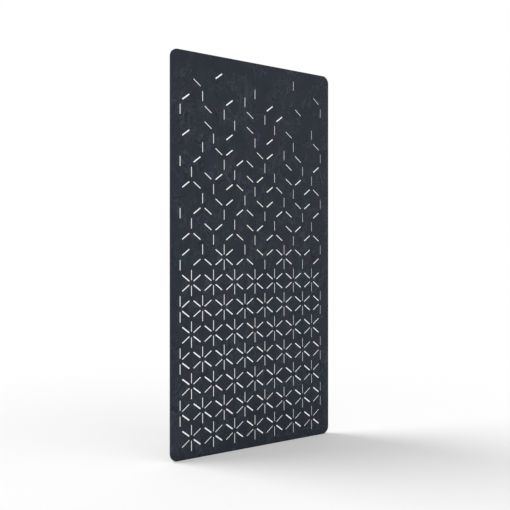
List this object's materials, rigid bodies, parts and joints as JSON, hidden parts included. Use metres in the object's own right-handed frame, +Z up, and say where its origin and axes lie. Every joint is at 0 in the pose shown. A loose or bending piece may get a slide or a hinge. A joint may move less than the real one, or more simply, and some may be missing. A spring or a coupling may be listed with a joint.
{
  "type": "acoustic divider screen",
  "caption": "Free-standing slotted felt screen with rounded corners, held upright by a slim tube frame and a weighted base with levelling glides behind it.",
  "frame": {"origin": "middle of the sheet's lower edge, on the floor and half way through the felt", "axes": "+Z up the sheet; +X to the right as seen from the front; -Y is the plain front, +Y the back with the frame and base"},
  "size_m": [1.2, 0.2044, 2.4],
  "materials": {
    "felt": "dark slate pressed polyester felt, softly marbled, cut edges paler",
    "hook_tape": "black hook tape",
    "frame_tube": "black anodised aluminium tube, satin",
    "joint_nylon": "black moulded nylon",
    "black_screw": "black oxide steel",
    "base_paint": "fine-textured black powder coat on steel plate",
    "ballast_iron": "black painted cast iron, lightly pebbled",
    "zinc_steel": "bright zinc-plated steel",
    "glide_steel": "zinc-plated turned steel",
    "sole_rubber": "matt black rubber"
  },
  "bodies": {
    "screen": {"felt_panel": "felt", "tape_left": "hook_tape", "tape_right": "hook_tape", "tape_top": "hook_tape", "tape_bottom": "hook_tape", "left_stile": "frame_tube", "right_stile": "frame_tube", "top_rail": "frame_tube", "bottom_rail": "frame_tube", "joint_top_left": "joint_nylon", "joint_top_right": "joint_nylon", "joint_bottom_left": "joint_nylon", "joint_bottom_right": "joint_nylon", "corner_screws": "black_screw", "base_plate": "base_paint", "base_screws": "zinc_steel", "rivet_nuts": "zinc_steel", "ballast_bar": "ballast_iron", "ballast_screws": "zinc_steel", "lock_nuts": "zinc_steel"},
    "foot_front_left": {"glide_front_left": "glide_steel", "sole_front_left": "sole_rubber"},
    "foot_front_right": {"glide_front_right": "glide_steel", "sole_front_right": "sole_rubber"},
    "foot_rear_left": {"glide_rear_left": "glide_steel", "sole_rear_left": "sole_rubber"},
    "foot_rear_right": {"glide_rear_right": "glide_steel", "sole_rear_right": "sole_rubber"}
  },
  "joints": [
    {"name": "level_front_left", "type": "slide", "parent": "screen", "child": "foot_front_left", "axis": [0, 0, -1], "range_m": [0, 0.008]},
    {"name": "level_front_right", "type": "slide", "parent": "screen", "child": "foot_front_right", "axis": [0, 0, -1], "range_m": [0, 0.008]},
    {"name": "level_rear_left", "type": "slide", "parent": "screen", "child": "foot_rear_left", "axis": [0, 0, -1], "range_m": [0, 0.008]},
    {"name": "level_rear_right", "type": "slide", "parent": "screen", "child": "foot_rear_right", "axis": [0, 0, -1], "range_m": [0, 0.008]}
  ]
}
